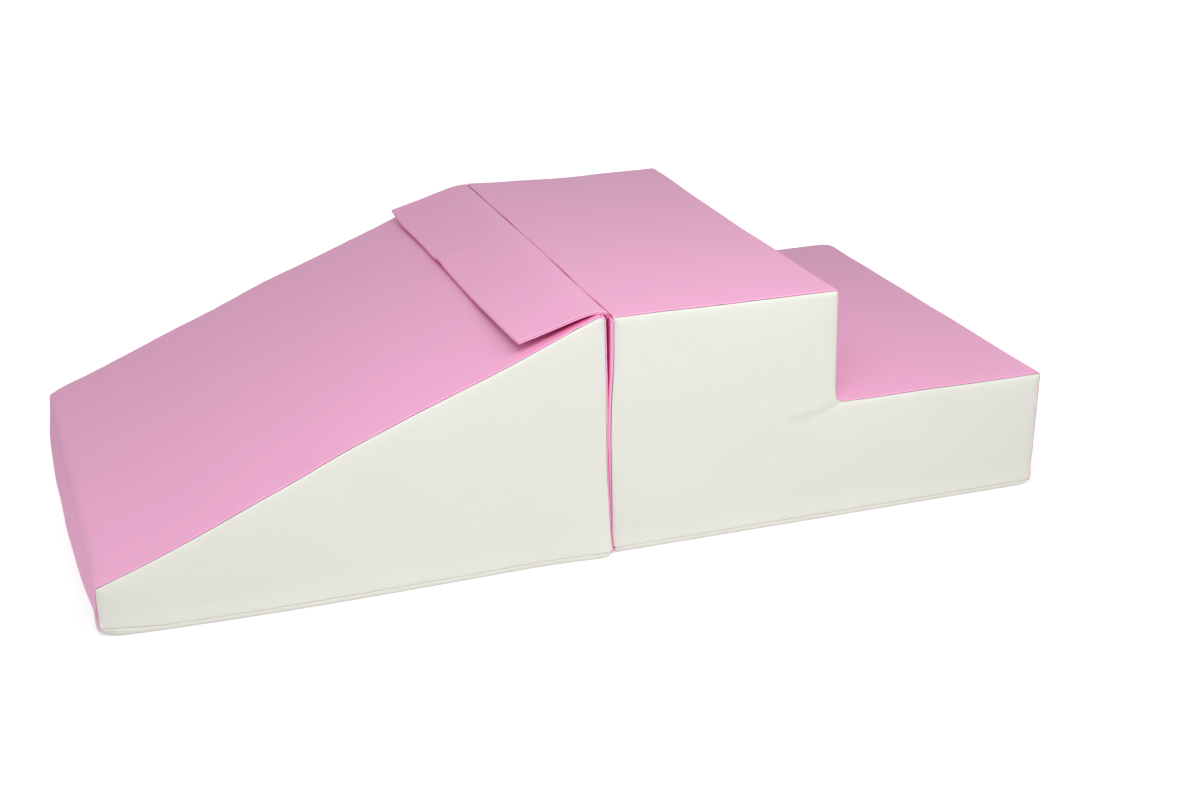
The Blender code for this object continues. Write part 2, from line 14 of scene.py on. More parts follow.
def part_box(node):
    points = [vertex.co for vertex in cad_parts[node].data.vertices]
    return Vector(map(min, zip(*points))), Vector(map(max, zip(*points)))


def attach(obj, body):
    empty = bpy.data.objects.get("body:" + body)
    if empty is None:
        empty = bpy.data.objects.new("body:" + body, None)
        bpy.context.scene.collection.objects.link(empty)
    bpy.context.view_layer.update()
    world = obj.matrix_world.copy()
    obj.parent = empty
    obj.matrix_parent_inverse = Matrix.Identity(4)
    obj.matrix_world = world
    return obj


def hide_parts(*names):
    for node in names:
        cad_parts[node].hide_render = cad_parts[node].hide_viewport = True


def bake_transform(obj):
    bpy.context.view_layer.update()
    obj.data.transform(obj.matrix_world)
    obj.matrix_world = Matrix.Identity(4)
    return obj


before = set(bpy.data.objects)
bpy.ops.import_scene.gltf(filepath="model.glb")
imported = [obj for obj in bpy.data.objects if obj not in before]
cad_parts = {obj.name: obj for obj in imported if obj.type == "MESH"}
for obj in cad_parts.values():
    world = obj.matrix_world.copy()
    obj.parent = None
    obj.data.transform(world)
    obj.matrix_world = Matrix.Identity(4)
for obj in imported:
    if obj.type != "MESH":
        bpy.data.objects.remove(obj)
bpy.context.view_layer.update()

# Camera, solved from the corners of the blocks
camera_target = (-0.0094, -0.300, 0.2045)
camera_azimuth = -20.598
camera_elevation = 22.400
camera_roll = 0.395
camera_distance = 2.0806
camera_lens = 52.90

# Blocks: what the frame says, and the corners that it has rounded away
fit_gap = 0.0003
cover_thickness = 0.0015
skin = cover_thickness + fit_gap
half_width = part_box("slide_slope_cover")[1].y
slide_low_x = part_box("slide_front_panel")[0].x - skin
step_left_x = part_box("flap_root_strip")[0].x
step_end_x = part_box("step_front_panel")[1].x + skin
step_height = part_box("step_front_panel")[1].z + skin
tread_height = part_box("step_foam_upper")[0].z + skin - 1.5 * fit_gap
slide_length = 0.600
slide_high_x = slide_low_x + slide_length
slide_low_height = 0.060
slide_height = step_height + 0.003
slope = (slide_height - slide_low_height) / slide_length
top_depth = 0.295
riser_x = step_left_x + top_depth
riser_lean = 0.006
joint_flare = 0.0025
seam_height = 0.0065
foot_radius = 0.0035
foot_edge_radius = 0.0025
plan_corner_radius = 0.006

# Corner radii of the covers; the fold over the low end is tight at its seams and soft between them
fold_radius = 0.003
fold_soft_radius = 0.018
fold_soft_reach = 0.070
apex_radius = 0.0075
edge_radius = 0.005
notch_radius = 0.012

# How far the stuffed faces swell
low_end_crown = 0.012
slope_crown = 0.005
joint_crown = 0.002
top_crown = 0.004
riser_crown = 0.0015
tread_crown = 0.004
end_crown = 0.003
side_crown = 0.003
side_crown_reach = 0.070
# How evenly the swell spreads across the width: low is a pillow, high is flat with firm edges
face_power = 3
joint_power = 16

# The seam allowance turned in behind a side shows as a faint step, with a line where it ends
allowance_width = 0.0075
allowance_rise = 0.00018
allowance_line = 0.0012
allowance_fade = 0.002
allowance_start = 0.004

# How many plain waves make up each unevenness
wave_count = 9
# Small gathers beside the seams, broad waves on the sides, and the unevenness of a whole block
gather_reach = 0.007
cover_gather = 0.00012
cover_gather_length = 0.013
side_gather = 0.00014
side_gather_length = 0.014
side_wave = 0.0005
side_wave_length = 0.090
side_wave_reach = 0.050
unevenness = 0.00040
uneven_length = 0.110
uneven_height = 0.030

# Seams: a pink cover rolls tightly into its seam, a white side in a broad round, and both dive into it
seam_inset = 0.0028
base_inset = 0.0007
base_blend = 0.012
pink_roll = 0.0014
end_roll = 0.0008
end_roll_foot = 0.3
end_roll_height = 0.100
hinge_roll = 0.0019
white_roll_width = 0.0150
side_slit = 0.0005
base_slit = 0.0002
hinge_slit = 0.0005
dive = 0.0020
ROLL_TURNS = (1, 0.72, 0.45, 0.22, 0)
BROAD_TURNS = (1, 0.93, 0.85, 0.75, 0.63, 0.50, 0.36, 0.20, 0)

# Mesh spacing
fine_step = 0.0016
coarse_step = 0.0050
step_growth = 1.35
# How far inner places keep from the loop round them, by the spacing, and rings by their own distance
loop_clear = 0.45
ring_clear = 0.9
# Places closer together than this are one
merge_distance = 1e-7
# How many places into a block's round edge at the joint the seam between its covers lies
apex_places = 3

# Flap
flap_length = 0.116
flap_half_width = 0.290
flap_thickness = 0.0030
flap_edge_swell = 0.0012
flap_swell_reach = 0.012
flap_layer = 0.0010
flap_roll_width = 0.0020
flap_slit = 0.0005
flap_dive = 0.0012
flap_lip = 0.0011
# How deep the seam between its layers lies in its thickness, and how far from its root the flap bends
flap_seam_share = 0.32
# Places of its rows near the root, by distance from the seam, and the spacing of the others
ROOT_RUNS = (0, 0.0004, 0.0008, 0.0013, 0.0019, 0.0027, 0.0038, 0.0052, 0.007, 0.009, 0.0115)
flap_step = 0.004
# The flap's upper surface: where it turns down from its hump, and how it dips to its seam
flap_reach = 0.1135
hump_height = 0.3128
root_dip = 0.0046
root_dip_run = 0.012
root_tuck = 0.0052
root_tuck_run = 0.0014
turn_softness = 0.006
TURN_PLACE = ((-0.290, 0.017), (-0.100, 0.016), (0.100, 0.013), (0.290, 0.009))
# Its slight unevenness, which fades towards its seam and its free edge
flap_wave = 0.0006
flap_wave_length = 0.075
flap_wave_root = 0.030
flap_wave_free = 0.050

# Hook tape under the flap, and loop tape on the slope, which is thinner at its edges
tape_start = flap_length * 0.55
tape_width = 0.025
tape_half_length = 0.250
tape_thickness = 0.0010
tape_edge_share = 0.45
tape_edge_width = 0.0015
tape_rows = 9
tape_columns = 81
hook_depth = 0.0011

# Base: rings of its rim as turns from upright at the seam to flat on the floor, and the zip's slot
RIM_TURNS = (0.34, 0.48, 0.61, 0.72, 0.82, 0.91, 1)
slot_half = 0.006
slot_margin = 0.050
slot_curl = 0.0012
slot_places = 120
SLOT_RINGS = (0.0004, 0.0008, 0.0013, 0.0030)
base_spacing = 0.020

# Foam: how far it stands behind the covers, its softened edges, and the channel under it for the zip
foam_inset = 0.0035
foam_edge = 0.006
FOAM_TURNS = (0.35, 0.9, math.pi / 2)
foam_spacing = 0.030
groove_half_width = 0.0180
groove_top = 0.0090
groove_fade = 0.040

# The slope's front seam: how far it stands off the straight line, by its share of the length
SLOPE_WAVE = ((0, 0), (0.1, -0.0015), (0.2, -0.0010), (0.3, 0.0006), (0.39, 0.0019), (0.49, 0.0046),
              (0.59, 0.0053), (0.68, 0.0031), (0.79, 0.0018), (0.89, 0.0024), (0.96, 0.0036), (1, 0.0034))
# How much of the wave is gone at the rear edge
slope_wave_fade = 0.55
# How far the slide's front foot splays forward, by place along the block, and the rear foot's share of it
FOOT_SPLAY = ((-0.602, 0), (-0.545, 0.0050), (-0.490, 0.0075), (-0.420, 0.0095), (-0.290, 0.0095),
              (-0.170, 0.0072), (-0.080, 0.0055), (-0.010, 0.0095))
splay_height = 0.150
splay_power = 1.4
rear_splay = 0.4
# How far the slope stands higher along its rear edge, by its share of the length
REAR_RISE = ((0, 0.0045), (0.3, 0.0055), (0.6, 0.0040), (1, 0.0015))
# How far the low end stands out, most of all at its rear
low_end_push = 0.0045
low_end_push_front = 0.35
low_end_push_reach = 0.080
low_end_push_height = 0.040
# How far the step block's top stands higher along its rear edge, by place along the block
TOP_REAR_RISE = ((0.009, 0.0046), (0.060, 0.0028), (0.120, 0.0013), (0.200, 0.0008), (0.260, 0.0015),
                 (0.306, 0.0030))
top_rise_start = 0.2
# How far the rear top corners sink
corner_sink = 0.0018
corner_sink_reach = 0.010
# Feet: the low end's toe spreads, the rims bulge, and the corners at the joint are round
toe_reach = 0.080
toe_spread = 0.0035
toe_lift = 0.0042
toe_lift_fade = 0.020
toe_corner = 0.0042
toe_corner_reach = 0.022
rim_bulge = 0.0034
rim_bulge_height = 0.030
slide_foot_corner = 0.010
step_foot_corner = 0.0055
end_foot_corner = 0.017
# The dimple in the tread where the sewn cover pulls in, beside the notch
dimple_from_riser = 0.031
dimple_from_side = 0.0205
dimple_depth = 0.0036
dimple_length = 0.012
dimple_width = 0.0048
dimple_height = 0.020
# The blocks' front edges at the joint, by height, and how far along and across a block they reach
joint_edge_reach = 0.060
front_start = 0.6
STEP_EDGE_WAVE = ((0, 0.0029), (0.017, 0.0009), (0.050, 0.0002), (0.103, -0.0016), (0.197, -0.0033),
                  (0.238, -0.0021), (0.306, -0.0019))
SLIDE_EDGE_WAVE = ((0, 0.0051), (0.150, 0.0033), (0.306, 0.0014))
# The wrinkle from the notch: start, end and depth of its stretches, and its furrow with the ridge beside it
WRINKLE = (((0.316, 0.157), (0.288, 0.146), 0.0014), ((0.294, 0.148), (0.260, 0.140), 0.0018),
           ((0.267, 0.141), (0.222, 0.139), 0.0014))
furrow_width = 0.006
ridge_width = 0.008
ridge_place = 0.011
ridge_share = 0.8
wrinkle_start = 0.25
wrinkle_end = 0.5
# The flap's seam and free edge, by place across the block
ROOT_WAVE = ((-0.300, -0.0015), (-0.278, -0.0020), (-0.189, -0.0017), (-0.113, -0.0009), (-0.030, 0.0007),
             (0.052, 0.0003), (0.139, -0.0002), (0.227, -0.0022), (0.300, -0.0036))
FLAP_LIFT = ((-0.290, 0.0175), (-0.200, 0.0130), (-0.100, 0.0080), (-0.050, 0.0060), (0, 0.0060),
             (0.030, 0.0072), (0.050, 0.0090), (0.075, 0.0060), (0.090, 0.0050), (0.120, 0.0060),
             (0.200, 0.0070), (0.250, 0.0090), (0.290, 0.0150))


def between(pairs, place):
    """A smooth curve through given pairs of place and value."""
    places, values = np.array(pairs, float).T
    slopes = np.gradient(values, places)
    i = np.clip(np.searchsorted(places, place) - 1, 0, len(places) - 2)
    span = places[i + 1] - places[i]
    t = np.clip((place - places[i]) / span, 0, 1)
    near = (1 + 2 * t) * (1 - t) ** 2 * values[i] + t * (1 - t) ** 2 * span * slopes[i]
    far = t * t * (3 - 2 * t) * values[i + 1] + t * t * (t - 1) * span * slopes[i + 1]
    return near + far


def ease(value):
    """0 below 0, 1 above 1, and smooth between."""
    t = np.clip(value, 0, 1)
    return t * t * (3 - 2 * t)


def swollen(share):
    """How a stuffed face swells from edge to edge: 0 and level at both, and 1 between them."""
    return (4 * share * (1 - share)) ** 1.5


def waves(points, length, seed):
    """Smooth unevenness of about 1 either way, with crests about a given length apart."""
    rng = np.random.default_rng(seed)
    total = np.zeros(len(points))
    for _ in range(wave_count):
        direction = rng.normal(size=3)
        direction *= 2 * math.pi / length / np.linalg.norm(direction)
        total += np.sin(points @ direction + rng.uniform(0, 2 * math.pi))
    return total / math.sqrt(wave_count)


def graded(length, coarse=coarse_step):
    """Distances along a run, close together at its ends."""
    steps = [fine_step]
    while sum(steps) < length / 2:
        steps.append(min(coarse, steps[-1] * step_growth))
    half = np.cumsum([0, *steps])
    half *= length / 2 / half[-1]
    return np.concatenate([half, length - half[-2::-1]])


def unit(vectors):
    """The same directions with a length of 1."""
    return vectors / np.linalg.norm(vectors, axis=-1, keepdims=True)


def outward(way):
    """The outer side of a direction, for an outline that runs clockwise."""
    return np.array((-way[1], way[0]))


# A row of places along an outline, with normals, the number of the run and the share of the way along it
Row = namedtuple("Row", "place normal run share")


def outline(corners):
    """An open outline from its first corner to its last, clockwise, with the others rounded.

    A corner is (x, z, radius).
    """
    spots = [np.array(corner[:2], float) for corner in corners]
    ways = [unit(b - a) for a, b in zip(spots, spots[1:])]
    arcs = [(spots[0], spots[0], [])]
    for k in range(1, len(spots) - 1):
        before, after, radius = ways[k - 1], ways[k], corners[k][2]
        turn = -math.atan2(before[0] * after[1] - before[1] * after[0], before @ after)
        start = spots[k] - before * radius * math.tan(abs(turn) / 2)
        side = math.copysign(1, turn)
        centre = start - side * outward(before) * radius
        steps = max(4, math.ceil(radius * abs(turn) / fine_step))
        arc = []
        for share in np.linspace(0, 1, steps + 1):
            normal = np.array(Matrix.Rotation(-turn * share, 2) @ Vector(outward(before)))
            arc.append((centre + side * normal * radius, normal, k, 0))
        arcs.append((arc[0][0], arc[-1][0], arc))
    arcs.append((spots[-1], spots[-1], []))
    found = [(spots[0], outward(ways[0]), 0, 0)]
    for k, way in enumerate(ways):
        start, end = arcs[k][1], arcs[k + 1][0]
        length = np.linalg.norm(end - start)
        found += [(start + way * d, outward(way), k, d / length) for d in graded(length)[1:-1]]
        found += arcs[k + 1][2] or [(end, outward(way), k, 1)]
    return Row(*(np.array(column) for column in zip(*found)))


def rolled_edge(width, depth, turns=ROLL_TURNS):
    """How an edge turns down to its seam and dives into it: pairs of distance from the seam and depth."""
    pairs = [(dive, depth + dive / 2)]
    for turn in turns:
        angle = turn * math.pi / 2
        pairs.append((width * (1 - math.sin(angle)), depth * (1 - math.cos(angle))))
    return pairs


def seam_of(row, joint_way, foot_roll, top_roll):
    """How far a cover rolls over to its side seam at each place of a row, and how deep the seam lies."""
    z = row.place[:, 1]
    joint_roll = foot_roll + (top_roll - foot_roll) * z / step_height
    facing = row.normal[:, 0] * joint_way
    roll = pink_roll + (joint_roll - pink_roll) * np.clip(facing, 0, 1) ** 2
    narrow = end_roll * (end_roll_foot + (1 - end_roll_foot) * ease(z / end_roll_height))
    roll += (narrow - pink_roll) * np.clip(-facing, 0, 1) ** 2
    return roll, inset_at(z)


def inset_at(z):
    """How deep a side seam lies: shallower just above the base."""
    return base_inset + (seam_inset - base_inset) * ease((z - seam_height) / base_blend)


def across():
    """Columns across a cover: share of the flat part, of the roll outward and downward, and of the dive."""
    flat_half = half_width - seam_inset - pink_roll
    edge = [(1, 1, 1, 1)]
    edge += [(1, math.sin(turn * math.pi / 2), 1 - math.cos(turn * math.pi / 2), 0) for turn in ROLL_TURNS]
    columns = [(-flat, -out, down, diving) for flat, out, down, diving in edge]
    columns += [(along / flat_half - 1, 0, 0, 0) for along in graded(2 * flat_half)[1:-1]]
    columns += reversed(edge)
    return np.array(columns).T


def with_rolled_ends(row, base_end):
    """Roll a row's ends down into the base seam and the hinge seam; gives the row and its depths."""
    place, normal, run, share = (list(column) for column in row)
    depth = [0] * len(place)
    for end, inner in ((0, 1), (-1, -2)):
        roll, slit = (base_inset, base_slit) if end == base_end else (hinge_roll, hinge_slit)
        way = unit(place[inner] - place[end])
        start, face, k, s = place[end], normal[end], run[end], share[end]
        for column in (place, normal, run, share, depth):
            column.pop(end)
        keep = [i for i in range(len(place))
                if np.linalg.norm(place[i] - start) > roll + slit + fine_step / 2]
        place, normal, run, share, depth = ([column[i] for i in keep]
                                            for column in (place, normal, run, share, depth))
        for along, drop in reversed(rolled_edge(roll, roll)):
            spot = 0 if end == 0 else len(place)
            values = (start + way * (along + slit / 2), face, k, s, drop)
            for column, value in zip((place, normal, run, share, depth), values):
                column.insert(spot, value)
    return Row(*(np.array(column) for column in (place, normal, run, share))), np.array(depth)


def drawn_tight(row):
    """The slide's row with its soft fold drawn to a tight one, as its side seams hold it."""
    place, normal = row.place.copy(), row.normal.copy()
    soft = (row.run == 1) & (row.share == 0)
    corner = np.array((slide_low_x, slide_low_height))
    reach = np.linalg.norm(place[soft][0] - corner)
    s = np.linspace(-reach, reach, soft.sum())[:, None]
    before, after = unit(corner - place[soft][0]), unit(place[soft][-1] - corner)
    turned = ease((s / fold_radius + 1) / 2)
    facing = unit(normal[soft][0] * (1 - turned) + normal[soft][-1] * turned)
    place[soft] = corner + before * np.minimum(s, 0) + after * np.maximum(s, 0)
    place[soft] -= facing * fold_radius / 4 * np.clip(1 - np.abs(s) / fold_radius, 0, 1) ** 2
    normal[soft] = facing
    return Row(place, normal, row.run, row.share)


def cover_grid(row, row_depth, block, crown_power, tight):
    """The points of a cover, one row for each place of the outline and one column for each place across.

    A tight row, if there is one, takes over towards the side seams.
    """
    flat, out, down, diving = (share[None, :] for share in across())
    roll, inset = (value[:, None] for value in seam_of(row, *block.joint))
    y = flat * (half_width - inset - roll) + out * roll - np.sign(out) * diving * dive
    swell = np.array([block.crowns[k] for k in row.run]) * swollen(row.share)
    spread = 1 - np.clip(np.abs(y) / half_width, 0, 1) ** crown_power
    rise = swell[:, None] * spread - row_depth[:, None] - down * roll - diving * dive / 2
    soft = ease((half_width - np.abs(y)) / fold_soft_reach)[:, :, None]
    place, normal = row.place[:, None, :], row.normal[:, None, :]
    if tight:
        place = place * soft + tight.place[:, None, :] * (1 - soft)
        normal = unit(normal * soft + tight.normal[:, None, :] * (1 - soft))
    spots = place + normal * rise[:, :, None]
    return np.stack([spots[:, :, 0], y, spots[:, :, 1]], -1)


def gathers(points, from_seam, seed, size, length):
    """The height of the small gathers beside a seam, which fade out on the seam itself and on the face."""
    near = from_seam / gather_reach * np.exp(1 - from_seam / gather_reach)
    return size * near * waves(points, length, seed)


def gathered(grid, seed):
    """A cover's points with the gathers beside its side seams."""
    flat = grid.reshape(-1, 3).copy()
    from_seam = np.maximum(half_width - np.abs(flat[:, 1]), 0)
    along, over = np.gradient(grid, axis=0), np.gradient(grid, axis=1)
    normal = np.cross(along, over).reshape(-1, 3)
    normal /= np.maximum(np.linalg.norm(normal, axis=1, keepdims=True), 1e-12)
    flat += normal * gathers(flat, from_seam, seed, cover_gather, cover_gather_length)[:, None]
    return flat.reshape(grid.shape)


def grid_faces(rows, columns):
    """Quads of a grid, facing the side that row direction times column direction points to."""
    index = np.arange(rows * columns).reshape(rows, columns)
    return np.stack([index[:-1, :-1], index[1:, :-1], index[1:, 1:], index[:-1, 1:]], -1).reshape(-1, 4)


def at_front(y):
    """1 at a block's front edge, and 0 from a little way behind it."""
    return ease((-y / half_width - front_start) / (1 - front_start))


def towards_rear(y):
    """From 0 at a block's front edge to 1 at its rear edge."""
    return ease(0.5 + y / half_width / 2)


def slope_line(x):
    """The share of the slope's length at a place, and the height of its straight line there."""
    share = np.clip((x - slide_low_x) / slide_length, 0, 1)
    return share, slide_low_height + (slide_height - slide_low_height) * share


def slope_wave(share, y):
    """How far the slope stands off its straight line."""
    return between(SLOPE_WAVE, share) * (1 - slope_wave_fade * towards_rear(y))


def slope_swell(share, y):
    """How far the slope's cover swells."""
    return slope_crown * swollen(share) * (1 - (np.abs(y) / half_width) ** face_power)


def settle_slide(points):
    """How the slide block's whole skin has settled: its slope, its foot, its low end and its joint edge."""
    points = points.copy()
    # x, y and z are views into the points, so each line below moves them and works on what moved before
    x, y, z = points.T
    share, top = slope_line(x)
    z += slope_wave(share, y) * np.clip(z / top, 0, 1)
    low = np.clip(1 - z / splay_height, 0, 1) ** splay_power
    outer = ease(2 * np.abs(y) / half_width - 1)
    y += between(FOOT_SPLAY, x) * low * outer * np.where(y < 0, -1, rear_splay)
    rim = seam_height + toe_lift
    toe = ease(1 - (x - slide_low_x) / toe_reach) * outer
    over_seam = np.maximum(z - seam_height, 0)
    z += toe_lift * toe * np.clip(z / seam_height, 0, 1) * np.exp(-over_seam / toe_lift_fade)
    x -= toe_spread * toe * np.sin(np.clip(z / rim, 0, 1) * math.pi)
    corner = toe_corner * ease(1 - (x - slide_low_x) / toe_corner_reach)
    corner *= ease(1 - (half_width - np.abs(y)) / toe_corner_reach)
    corner *= np.clip(1 - z / rim, 0, 1)
    x += corner
    y -= corner * np.sign(y)
    right = ease(1 - (slide_high_x - x) / joint_edge_reach) * at_front(y)
    x += between(SLIDE_EDGE_WAVE, z) * right
    back = towards_rear(y)
    z += between(REAR_RISE, share) * back * np.clip(z / top, 0, 1)
    pushed = low_end_push * (low_end_push_front + (1 - low_end_push_front) * back)
    x -= pushed * ease(1 - (x - slide_low_x) / low_end_push_reach) * ease(z / low_end_push_height)
    soften_corner(points, (slide_low_x, half_width, slide_low_height), (1, -1))
    round_foot(points, slide_high_x + joint_flare, -1, slide_foot_corner)
    bulge_rim(points)
    return uneven(points, seed=11)


def top_rise(x, y):
    """How much higher the step block's top stands towards its rear edge."""
    return between(TOP_REAR_RISE, x) * ease((y / half_width - top_rise_start) / (1 - top_rise_start))


def settle_step(points):
    """How the step block's whole skin has settled: its joint edge, the flap's seam, its rear and a dimple."""
    points = points.copy()
    x, y, z = points.T
    left = ease(1 - (x - step_left_x) / joint_edge_reach)
    front = at_front(y)
    x += between(STEP_EDGE_WAVE, z) * left * front * ease(z / seam_height)
    high = ease((z - step_height + joint_edge_reach) / joint_edge_reach)
    x += between(ROOT_WAVE, y) * left * high * (1 - front)
    z += top_rise(x, y) * ease((z - tread_height) / (step_height - tread_height))
    from_riser = x - riser_x - riser_lean - dimple_from_riser
    from_side = half_width - np.abs(y) - dimple_from_side
    along, off = (from_riser + from_side) / math.sqrt(2), (from_riser - from_side) / math.sqrt(2)
    over = z - tread_height
    away = (along / dimple_length) ** 2 + (off / dimple_width) ** 2 + (over / dimple_height) ** 2
    z -= dimple_depth * np.exp(-away)
    soften_corner(points, (step_end_x, half_width, tread_height), (-1, -1))
    round_foot(points, step_left_x, 1, step_foot_corner)
    round_foot(points, step_end_x, -1, end_foot_corner)
    bulge_rim(points)
    return uneven(points, seed=23)


def round_foot(points, edge_x, inward, radius):
    """Draw the foot of a block's end in, so that its bottom corner is round."""
    near = ease(1 - np.abs(points[:, 0] - edge_x) / (4 * radius))
    drop = np.clip(1 - points[:, 2] / radius, 0, 1)
    points[:, 0] += inward * near * radius * (1 - np.sqrt(1 - drop ** 2))


def soften_corner(points, corner, inward):
    """Draw a rear top corner of a block in, where the cover is looser."""
    away = ((points - np.array(corner)) ** 2).sum(1)
    sink = corner_sink * np.exp(-away / corner_sink_reach ** 2)
    points[:, 0] += inward[0] * sink
    points[:, 1] += inward[1] * sink
    points[:, 2] -= sink


def bulge_rim(points):
    """Push the lowest part of the sides out, where the foam's weight presses on the base."""
    low = ease(1 - points[:, 2] / rim_bulge_height)
    outer = ease(2 * np.abs(points[:, 1]) / half_width - 1)
    points[:, 1] += rim_bulge * low * outer * np.sign(points[:, 1])


def uneven(points, seed):
    """The slight unevenness that foam and sewing leave, the same for every piece of a block."""
    strength = ease(points[:, 2] / uneven_height) * unevenness
    moved = points.copy()
    for axis in range(3):
        moved[:, axis] += strength * waves(points, uneven_length, seed + axis)
    return moved


def srgb(code):
    """A colour written as sRGB hex, as the linear values that Blender uses."""
    parts = [int(code[i:i + 2], 16) / 255 for i in (1, 3, 5)]
    return (*(c / 12.92 if c <= 0.04045 else ((c + 0.055) / 1.055) ** 2.4 for c in parts), 1)


def feed(tree, node, *sources, **settings):
    """Set up a node: sources are linked to its first inputs; settings are properties, values or links."""
    for name, value in settings.items():
        if hasattr(node, name):
            setattr(node, name, value)
        elif isinstance(value, bpy.types.NodeSocket):
            tree.links.new(value, node.inputs[name.replace("_", " ")])
        else:
            node.inputs[name.replace("_", " ")].default_value = value
    for socket, source in zip(node.inputs, sources):
        tree.links.new(source, socket)
    return node


def add(tree, kind, *sources, **settings):
    """Add a node with its settings and links."""
    return feed(tree, tree.nodes.new(kind), *sources, **settings)


def material_of(name, roughness, ior=1.5, metallic=0.0, sheen=0.0):
    """A new material with its Principled shader set to constant values, and the object coordinates."""
    material = bpy.data.materials.new(name)
    material.use_nodes = True
    tree = material.node_tree
    shader = tree.nodes["Principled BSDF"]
    feed(tree, shader, Roughness=roughness, IOR=ior, Metallic=metallic, Sheen_Weight=sheen)
    return material, tree, shader, add(tree, "ShaderNodeTexCoord").outputs["Object"]


# Leatherette: its grain, its pores and the broad differences in its tone and polish
grain_size = 0.0008
pore_size = 0.0025
tone_size = 0.140
polish_range = 0.04
# How far the painted crease shade looks for close surfaces, and the shares of open space where it is full and
# gone
crease_shade_reach = 0.012
crease_shade_full, crease_shade_gone = 0.15, 0.72


def leatherette(name, colour, deep, crease_shade, roughness):
    """PVC leatherette, calendered and embossed: soft satin gloss over a fine pebble grain.

    The real grain is 0.8 mm across. Handling leaves faint broad differences in tone. In creases and seams the
    colour is painted shade: it turns to a deeper crease colour where ambient occlusion finds close surfaces.
    """
    material, tree, shader, place = material_of(name, roughness, ior=1.52)
    grain = add(tree, "ShaderNodeTexVoronoi", place, feature="SMOOTH_F1", Scale=1 / grain_size,
                Smoothness=0.6)
    pores = add(tree, "ShaderNodeTexNoise", place, Scale=1 / pore_size, Detail=3.0)
    tone = add(tree, "ShaderNodeTexNoise", place, Scale=1 / tone_size, Detail=2.0).outputs["Fac"]
    mottle = add(tree, "ShaderNodeMix", tone, data_type="RGBA", A=srgb(deep), B=srgb(colour))
    # Painted shade: where close surfaces hide the room, the colour turns to the crease shade colour
    shut = add(tree, "ShaderNodeAmbientOcclusion", samples=4, Distance=crease_shade_reach)
    open_share = add(tree, "ShaderNodeMapRange", shut.outputs["AO"], From_Min=crease_shade_full,
                     From_Max=crease_shade_gone)
    tint = add(tree, "ShaderNodeMix", open_share.outputs["Result"], data_type="RGBA", A=srgb(crease_shade),
               B=mottle.outputs["Result"])
    relief = add(tree, "ShaderNodeBump", Height=grain.outputs["Distance"], Strength=0.10, Distance=0.0002)
    broad = add(tree, "ShaderNodeBump", Height=pores.outputs["Fac"], Normal=relief.outputs["Normal"],
                Strength=0.12, Distance=0.0003)
    polish = add(tree, "ShaderNodeMapRange", tone, To_Min=roughness - polish_range,
                 To_Max=roughness + polish_range)
    feed(tree, shader, Base_Color=tint.outputs["Result"], Normal=broad.outputs["Normal"],
         Roughness=polish.outputs["Result"])
    return material


def cellular_foam():
    """Polyurethane foam, foamed in a block and sawn: open cells of about 1 mm with no gloss."""
    material, tree, shader, place = material_of("polyurethane foam, open-celled", 0.95, sheen=0.2)
    cells = add(tree, "ShaderNodeTexVoronoi", place, Scale=1 / 0.0011).outputs["Distance"]
    tint = add(tree, "ShaderNodeMix", cells, data_type="RGBA", A=srgb("#D9D2A6"), B=srgb("#F3EED2"))
    relief = add(tree, "ShaderNodeBump", Height=cells, Strength=0.8, Distance=0.0006)
    feed(tree, shader, Base_Color=tint.outputs["Result"], Normal=relief.outputs["Normal"])
    return material


def woven_tape(pitch=0.0006):
    """Polyester tape, woven: ribs along its length that catch the light, and a matt face."""
    material, tree, shader, place = material_of("polyester zip tape, woven", 0.85, sheen=0.3)
    warp, weft = (add(tree, "ShaderNodeTexWave", place, bands_direction=way, Scale=1 / pitch / 3,
                      Distortion=0.4).outputs["Fac"] for way in "YX")
    weave = add(tree, "ShaderNodeMath", warp, weft, operation="MULTIPLY").outputs["Value"]
    tint = add(tree, "ShaderNodeMix", weave, data_type="RGBA", A=srgb("#C9C9C2"), B=srgb("#EFEFEA"))
    relief = add(tree, "ShaderNodeBump", Height=weave, Strength=0.6, Distance=0.0002)
    feed(tree, shader, Base_Color=tint.outputs["Result"], Normal=relief.outputs["Normal"])
    return material


def pile_tape(name, colour, deep, size, rise):
    """Nylon fastening tape, knitted with loops or moulded with hooks: a fuzzy face of tiny bristles."""
    material, tree, shader, place = material_of(name, 0.9, ior=1.53, sheen=0.6)
    tufts = add(tree, "ShaderNodeTexVoronoi", place, Scale=1 / size).outputs["Distance"]
    tint = add(tree, "ShaderNodeMix", tufts, data_type="RGBA", A=srgb(colour), B=srgb(deep))
    relief = add(tree, "ShaderNodeBump", Height=tufts, Strength=0.9, Distance=rise, invert=True)
    feed(tree, shader, Base_Color=tint.outputs["Result"], Normal=relief.outputs["Normal"])
    return material


def nylon_coil():
    """Nylon monofilament, wound and heat-set: smooth, slightly clear plastic."""
    material, tree, shader, place = material_of("nylon coil, heat-set", 0.35, ior=1.53)
    drawn = add(tree, "ShaderNodeTexNoise", place, Scale=1 / 0.0006, Detail=2.0).outputs["Fac"]
    tint = add(tree, "ShaderNodeMix", drawn, data_type="RGBA", A=srgb("#DEDED8"), B=srgb("#F2F2EE"))
    feed(tree, shader, Base_Color=tint.outputs["Result"])
    return material


